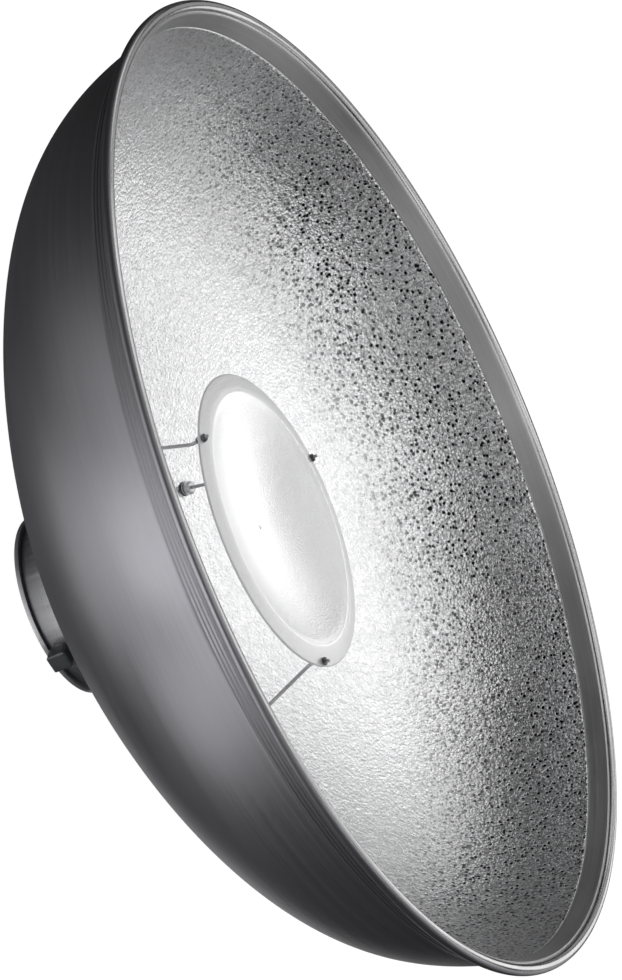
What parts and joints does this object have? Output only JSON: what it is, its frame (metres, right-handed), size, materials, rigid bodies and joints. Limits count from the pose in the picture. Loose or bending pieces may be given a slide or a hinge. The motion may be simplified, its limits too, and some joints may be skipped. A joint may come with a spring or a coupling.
{
  "type": "studio beauty dish reflector",
  "caption": "Deep spun reflector with a hammered bowl, a rod-held deflector plate, and a rear collar whose knob locks a turning mount ring for a flash head.",
  "frame": {"origin": "centre of the collar's rear face, which the dish also stands on", "axes": "+Z out of the dish along its optical axis; +Y towards the first deflector rod"},
  "size_m": [0.56, 0.5599, 0.2013],
  "materials": {
    "bowl": "satin grey paint outside, hammered bright silver inside",
    "rim_wire": "drawn wire",
    "collar": "satin dark grey paint",
    "turned_ring": "turned",
    "steel_plate": "stamped and tumbled",
    "fasteners": "zinc plated",
    "dark_fasteners": "blackened",
    "rubber": "matt",
    "gasket": "pressed fibre",
    "slip": "waxy",
    "brass": "machined",
    "knob": "moulded, fine grain",
    "deflector": "frosted silver",
    "rod": "drawn steel with threaded ends"
  },
  "bodies": {
    "reflector": {"bowl": "bowl", "rim_wire": "rim_wire", "mount_collar": "collar", "clamp_ring": "turned_ring", "collar_screws": "fasteners", "seat_gasket": "gasket", "slip_ring": "slip", "retaining_ring": "dark_fasteners", "thread_insert": "brass", "deflector": "deflector", "rod_a": "rod", "rod_b": "rod", "rod_c": "rod", "wall_cap_nuts": "fasteners", "wall_outer_washers": "fasteners", "wall_rubber_washers": "rubber", "wall_steel_washers": "fasteners", "wall_spring_washers": "dark_fasteners", "wall_nuts": "fasteners", "brim_rear_nuts": "dark_fasteners", "brim_rear_washers": "fasteners", "brim_front_washers": "fasteners", "brim_front_nuts": "dark_fasteners"},
    "adapter": {"mount_ring": "turned_ring", "lug_plate": "steel_plate", "plate_screws": "fasteners"},
    "lock_shoe": {"lock_shoe": "slip"},
    "lock_knob": {"lock_screw": "fasteners", "lock_knob": "knob"}
  },
  "joints": [
    {"name": "adapter_turn", "type": "hinge", "parent": "reflector", "child": "adapter", "pos_m": [0, 0, 0], "axis": [0, 0, 1], "continuous": true},
    {"name": "shoe_travel", "type": "slide", "parent": "reflector", "child": "lock_shoe", "axis": [0.1736, -0.9848, 0], "range_m": [0, 0.003]},
    {"name": "knob_turn", "type": "hinge", "parent": "lock_shoe", "child": "lock_knob", "pos_m": [0, 0, 0.0086], "axis": [0.1736, -0.9848, 0], "range_deg": [0, 1080]}
  ],
  "couplings": [
    {"joint": "knob_turn", "follows": "shoe_travel", "rad_per_m": 6280}
  ]
}
